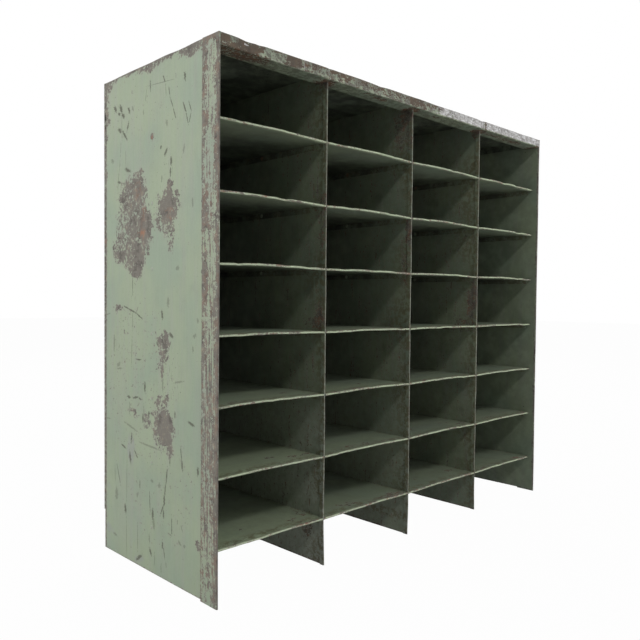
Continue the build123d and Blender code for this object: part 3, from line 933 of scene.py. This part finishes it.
class Grain:
    """The noises that a finish's layers share; grain is its streaks' size in mm along x, y, z."""

    def __init__(self, g, grain):
        self.fine = g.noise(3.0, 4.0, 0.65, 1.3)
        self.middle = g.noise(13.0, 4.0, 0.6, 5.9)
        self.wide = g.noise(120.0, 3.0, 0.5, 2.2)
        self.specks = g.noise(6.0, 3.0, 0.6, 23.0)
        self.flakes = g.noise(2.2, 3.0, 0.6, 19.0)
        self.streaks = g.noise(grain, 4.0, 0.6, 8.8)
        self.blotches = g.noise(tuple(3.2 * size for size in grain), 4.0, 0.6, 31.0)
        self.dashes = g.noise(tuple(0.35 * size for size in grain), 2.0, 0.5, 21.0)


def paint_colour(g, n, tone_and_shade, grime_and_shade, thin, stain):
    """Mottled green with soil on it, rubbed thin or stained where the wear fields say; a darker green
    and more soil on the pieces inside the case are painted shade.
    """
    paint = g.blend(g.step(n.wide, 0.36, 0.60), GREEN, YELLOW_GREEN)
    paint = g.blend(g.step(n.blotches, 0.44, 0.68, 0.0, 0.5), paint, GREY_GREEN)
    # Tone: the paint's own brightness on the side panels and the top, lowered on the pieces inside the
    # case as painted shade.
    shade = g.add(tone_and_shade, g.swing(n.fine, 0.16), g.swing(n.streaks, 0.14), g.swing(n.wide, 0.18))
    paint = g.blend(1.0, paint, g.grey(shade), "MULTIPLY")
    # Soil blotches; the larger amount on the pieces inside the case is partly painted shade.
    soil = g.step(g.noise(44.0, 5.0, 0.65, 4.4), 0.48, 0.80, 0.0, grime_and_shade)
    paint = g.blend(soil, paint, DIRT_AND_SHADE)
    rubbed = g.times(g.worn("pale"), g.step(n.middle, 0.28, 0.58, 0.45, 1.0))
    paint = g.blend(rubbed, paint, thin)
    mottled = g.add(g.noise(11.0, 5.0, 0.7, 37.0), g.swing(n.fine, 0.3))
    return g.blend(g.times(g.worn("brown"), g.step(mottled, 0.43, 0.56)), paint, stain)


def lost_paint(g, n):
    """Above zero where the paint is gone, in patches or in streaks."""
    broken = g.add(g.swing(n.fine, 1.6), g.swing(n.specks, 1.9), g.swing(n.middle, 0.9))
    patchy = g.add(g.worn("rot"), broken)
    streaky = g.add(g.worn("drag"), g.swing(n.streaks, 2.1), g.swing(n.specks, 1.3),
                    g.swing(n.fine, 0.8))
    return g.most(patchy, streaky)


def small_losses(g, n, chips, scratches, faint):
    """Specks and short dashes, and the scratches that are drawn one by one."""
    flecks = g.add(g.noise(5.0, 2.0, 0.5, 11.0), g.swing(n.wide, 0.35))
    dashes = g.add(n.dashes, g.swing(n.wide, 0.4))
    fewest = 0.80 - 0.04 * chips
    small = g.most(g.step(flecks, fewest, fewest + 0.04, 0.0, 0.8),
                   g.step(dashes, fewest + 0.01, fewest + 0.05, 0.0, 0.6))
    if scratches:
        ragged = g.swing(n.fine, 2.4)
        drawn = g.most(g.scratched(scratches, ragged, 0.85), g.scratched(faint, ragged, 0.45))
        small = g.most(small, g.times(drawn, g.worn("outer")))
    return small


def rust_colour(g, n, tint):
    """Old dark rust with tan and orange in it, and flakes of primer."""
    decay = g.noise(17.0, 5.0, 0.7, 13.0)
    rusty = g.blend(g.step(decay, 0.34, 0.50), RUST_DARK, RUST_GREY)
    rusty = g.blend(g.step(decay, 0.54, 0.66, 0.0, 0.8), rusty, RUST_TAN)
    orange = g.times(g.worn("warm"), g.step(g.noise(12.0, 4.0, 0.7, 17.0), 0.44, 0.62))
    rusty = g.blend(orange, rusty, RUST_ORANGE)
    rusty = g.blend(g.step(n.flakes, 0.60, 0.68, 0.0, 0.5), rusty, PRIMER)
    return g.blend(1.0, rusty, tint, "MULTIPLY")


def old_enamel(name, grain, tone_and_shade=1.0, grime_and_shade=0.2, chips=1.0, thin=THIN_GREEN, stain=BROWNED,
               rust_tint=(1.0, 1.0, 1.0), scratches=(), faint=()):
    """Green enamel over primer and steel, lost and rusted where the mesh's wear fields say.

    chips says how many small losses there are, and thin and stain are the colours of rubbed
    and of stained paint.
    """
    g = Graph(bpy.data.materials.new(name))
    n = Grain(g, grain)
    lost = lost_paint(g, n)
    rust = g.step(lost, 0.0, 0.09)
    primer = g.step(lost, -0.13, -0.02, 0.0, 0.55)
    small = small_losses(g, n, chips, scratches, faint)
    polished = g.add(g.worn("bare"), g.swing(n.middle, 1.3), g.swing(n.streaks, 1.5))
    steel = g.step(polished, 0.0, 0.15)
    metal = g.blend(g.step(n.streaks, 0.32, 0.56), BARE_STEEL, DULL_STEEL)
    metal = g.blend(g.step(n.specks, 0.46, 0.64, 0.0, 0.85), metal, PITTED_STEEL)
    cloudy = g.step(g.noise(26.0, 4.0, 0.6, 27.0), 0.30, 0.62, 0.5, 1.25)

    colour = g.blend(small, paint_colour(g, n, tone_and_shade, grime_and_shade, thin, stain), SCRATCH)
    colour = g.blend(primer, colour, PRIMER)
    colour = g.blend(rust, colour, rust_colour(g, n, rust_tint))
    # Soot, and the painted shade deep inside the case, darken the colour.
    colour = g.blend(g.times(g.worn("dirt"), cloudy), colour, SOOT_AND_SHADE)
    colour = g.blend(steel, colour, metal)

    matt = g.most(rust, small)
    roughness = g.add(g.step(matt, 0.0, 1.0, 0.46, 0.84), g.swing(n.middle, 0.22))
    roughness = g.add(g.times(roughness, g.less(1.0, steel)), g.times(steel, 0.36))
    metallic = g.times(steel, 0.85)
    pits = g.times(rust, g.add(-0.20, g.swing(n.flakes, 0.5)))
    height = g.add(g.times(n.fine, 0.015), g.times(g.noise(60.0, 2.0), 0.25), pits)
    return g.finish(colour, roughness, metallic, height, 0.8)


def rivet_finish():
    """Painted rivets with worn heads; the top row of the side panels' is rusty."""
    g = Graph(bpy.data.materials.new("rivet_enamel"))
    split = g.node("SeparateXYZ", {0: g.place})
    rub = g.step(g.noise(5.0, 3.0, 0.6, 2.0), 0.42, 0.56, 0.0, 0.8)
    top_row = g.step(split.outputs[2], shelf_z(1) - 20, shelf_z(1) - 10)
    colour = g.blend(rub, GREEN, PRIMER)
    colour = g.blend(g.times(top_row, 0.9), colour, RUST_ORANGE)
    colour = g.blend(g.times(top_row, 0.5), colour, RUST_DARK)
    return g.finish(colour, g.step(rub, 0.0, 1.0, 0.45, 0.8), 0.0, g.times(rub, 0.1), 0.6)


# ------ building it
UPRIGHT = (4.5, 4.5, 60.0)
ACROSS = (60.0, 4.5, 4.5)
left_paint = old_enamel("left_enamel", UPRIGHT, tone_and_shade=0.94, thin=LAVENDER, grime_and_shade=0.10, chips=1.4,
                        scratches=LEFT_SCRATCHES, faint=LEFT_FAINT)
right_paint = old_enamel("right_enamel", UPRIGHT, thin=LAVENDER, grime_and_shade=0.15,
                         scratches=RIGHT_SCRATCHES, faint=RIGHT_FAINT)
side_panel("left_side_sheet", "left_side_panel", False, 11, left_paint,
           LEFT_PATCHES, LEFT_ORANGE, LEFT_PALE, LEFT_DENTS)
side_panel("right_side_sheet", "right_side_panel", True, 211, right_paint,
           RIGHT_PATCHES, RIGHT_ORANGE, LEFT_PALE[3:])
top_panel(old_enamel("top_enamel", (18.0, 5.0, 3.6), tone_and_shade=1.0, grime_and_shade=0.35, chips=3.5,
                     stain=BLACKENED, rust_tint=(0.62, 0.50, 0.38)))
# The back, the dividers and the shelves: the same green with a lower tone and more soil, as painted
# shade inside the case.
back_panel(old_enamel("back_enamel", UPRIGHT, tone_and_shade=0.92, grime_and_shade=0.35, thin=GREY_DUST_AND_LIGHT))
divider_paint = old_enamel("divider_enamel", UPRIGHT, tone_and_shade=0.84, grime_and_shade=0.5, chips=0.8, thin=DUST_AND_LIGHT)
for i in range(1, COLUMNS):
    divider(i, divider_paint)
shelf_paint = old_enamel("shelf_enamel", ACROSS, tone_and_shade=0.90, grime_and_shade=0.4, chips=0.5)
for r in range(1, ROWS + 1):
    for c in range(1, COLUMNS + 1):
        shelf(r, c, CROWNS[r - 1], shelf_paint)
rivet_paint = rivet_finish()
for node_name, node_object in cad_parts.items():
    if node_name.endswith("rivets"):
        node_object.data.materials.clear()
        node_object.data.materials.append(rivet_paint)


# ------ camera, floor and light
CAMERA_PLACE = (-1.1484, -1.0759, 0.4978)
HEADING, PITCH, ROLL = 44.37, -1.74, 0.51  # degrees; the heading is clockwise from +Y
SENSOR_WIDTH, FOCAL_LENGTH = 36.0, 38.63  # mm

WHITE = (1, 1, 1, 1)
FLOOR_SIZE = 30  # metres, as are the lights' places and sizes
FLOOR_LEVEL = -0.0015  # keeps the floor off the feet of the sheets
FLOOR_GREY = (0.45, 0.45, 0.45, 1)
FLOOR_BOUNCE = 0.09  # its own light on the object
FLOOR_GLOW = 0.98  # how much of what the camera sees is plain white
ROOM_LIGHT = 0.05  # from all round, on every surface
ROOM_SHINE = 0.70  # more of it in reflections
MIDDLE = (0, 0, 0.45)
LIGHTS = {  # place, size and watts
    "key": ((-3.3, 0.8, 1.25), (2.0, 2.0), 77),
    "overhead": ((0.0, -0.6, 3.6), (2.0, 2.0), 8),
    "front": ((0.0, -3.2, 1.1), (1.6, 0.8), 18),
    "front_left_high": ((-1.1, -2.6, 2.9), (0.6, 0.5), 28),
    "front_right_low": ((1.8, -2.8, 0.3), (1.0, 0.5), 48),
    "rear": ((2.4, 2.8, 2.4), (2.4, 2.0), 80),
}


def add_camera():
    """Low and close at the front left, about level with the middle of the sorter."""
    heading, pitch, roll = [math.radians(angle) for angle in (HEADING, PITCH, ROLL)]
    data = bpy.data.cameras.new("camera")
    data.sensor_width = SENSOR_WIDTH
    data.lens = FOCAL_LENGTH
    camera = bpy.data.objects.new("camera", data)
    turn = Matrix.Rotation(-heading, 4, "Z") @ Matrix.Rotation(math.pi / 2 + pitch, 4, "X")
    place = Matrix.Translation(CAMERA_PLACE)
    camera.matrix_world = place @ turn @ Matrix.Rotation(roll, 4, "Z")
    bpy.context.scene.collection.objects.link(camera)
    bpy.context.scene.camera = camera


def add_area(name, place, size, power):
    """A soft light aimed at the middle of the sorter."""
    data = bpy.data.lights.new(name, "AREA")
    data.shape = "RECTANGLE"
    data.size, data.size_y = size
    data.energy = power
    light = bpy.data.objects.new(name, data)
    light.location = place
    aim = Vector(MIDDLE) - Vector(place)
    light.rotation_euler = aim.to_track_quat("-Z", "Y").to_euler()
    light.visible_camera = False
    bpy.context.scene.collection.objects.link(light)


def add_stage():
    """A pale floor that shows nearly white but throws little light up into the pigeonholes."""
    bpy.ops.mesh.primitive_plane_add(size=FLOOR_SIZE, location=(0, 0, FLOOR_LEVEL))
    floor = bpy.context.object
    floor.name = "floor"
    g = Graph(bpy.data.materials.new("floor_white"))
    surface = g.node("BsdfPrincipled", {
        "Base Color": FLOOR_GREY, "Roughness": 0.9, "Emission Color": WHITE,
        "Emission Strength": FLOOR_BOUNCE})
    glow = g.node("Emission", {"Color": WHITE})
    seen = g.times(g.node("LightPath").outputs["Is Camera Ray"], FLOOR_GLOW)
    mix = g.node("MixShader", {0: seen, 1: surface.outputs[0], 2: glow.outputs[0]})
    g.node("OutputMaterial", {"Surface": mix.outputs[0]})
    floor.data.materials.append(g.owner)


def add_world():
    """White to the camera, dim to the object, so that the deep pigeonholes stay dark."""
    g = Graph(bpy.data.worlds.new("studio"))
    ray = g.node("LightPath")
    shine = g.node("Math", {0: ray.outputs["Is Glossy Ray"], 1: ROOM_SHINE, 2: ROOM_LIGHT},
                   operation="MULTIPLY_ADD")
    felt = g.node("Background", {"Color": WHITE, "Strength": shine.outputs[0]})
    seen = g.node("Background", {"Color": WHITE, "Strength": 1.0})
    mix = g.node("MixShader", {
        0: ray.outputs["Is Camera Ray"], 1: felt.outputs[0], 2: seen.outputs[0]})
    g.node("OutputWorld", {"Surface": mix.outputs[0]})
    bpy.context.scene.world = g.owner


add_camera()
add_stage()
add_world()
for name, (place, size, power) in LIGHTS.items():
    add_area(name, place, size, power)
bpy.context.scene.view_settings.view_transform = "Standard"
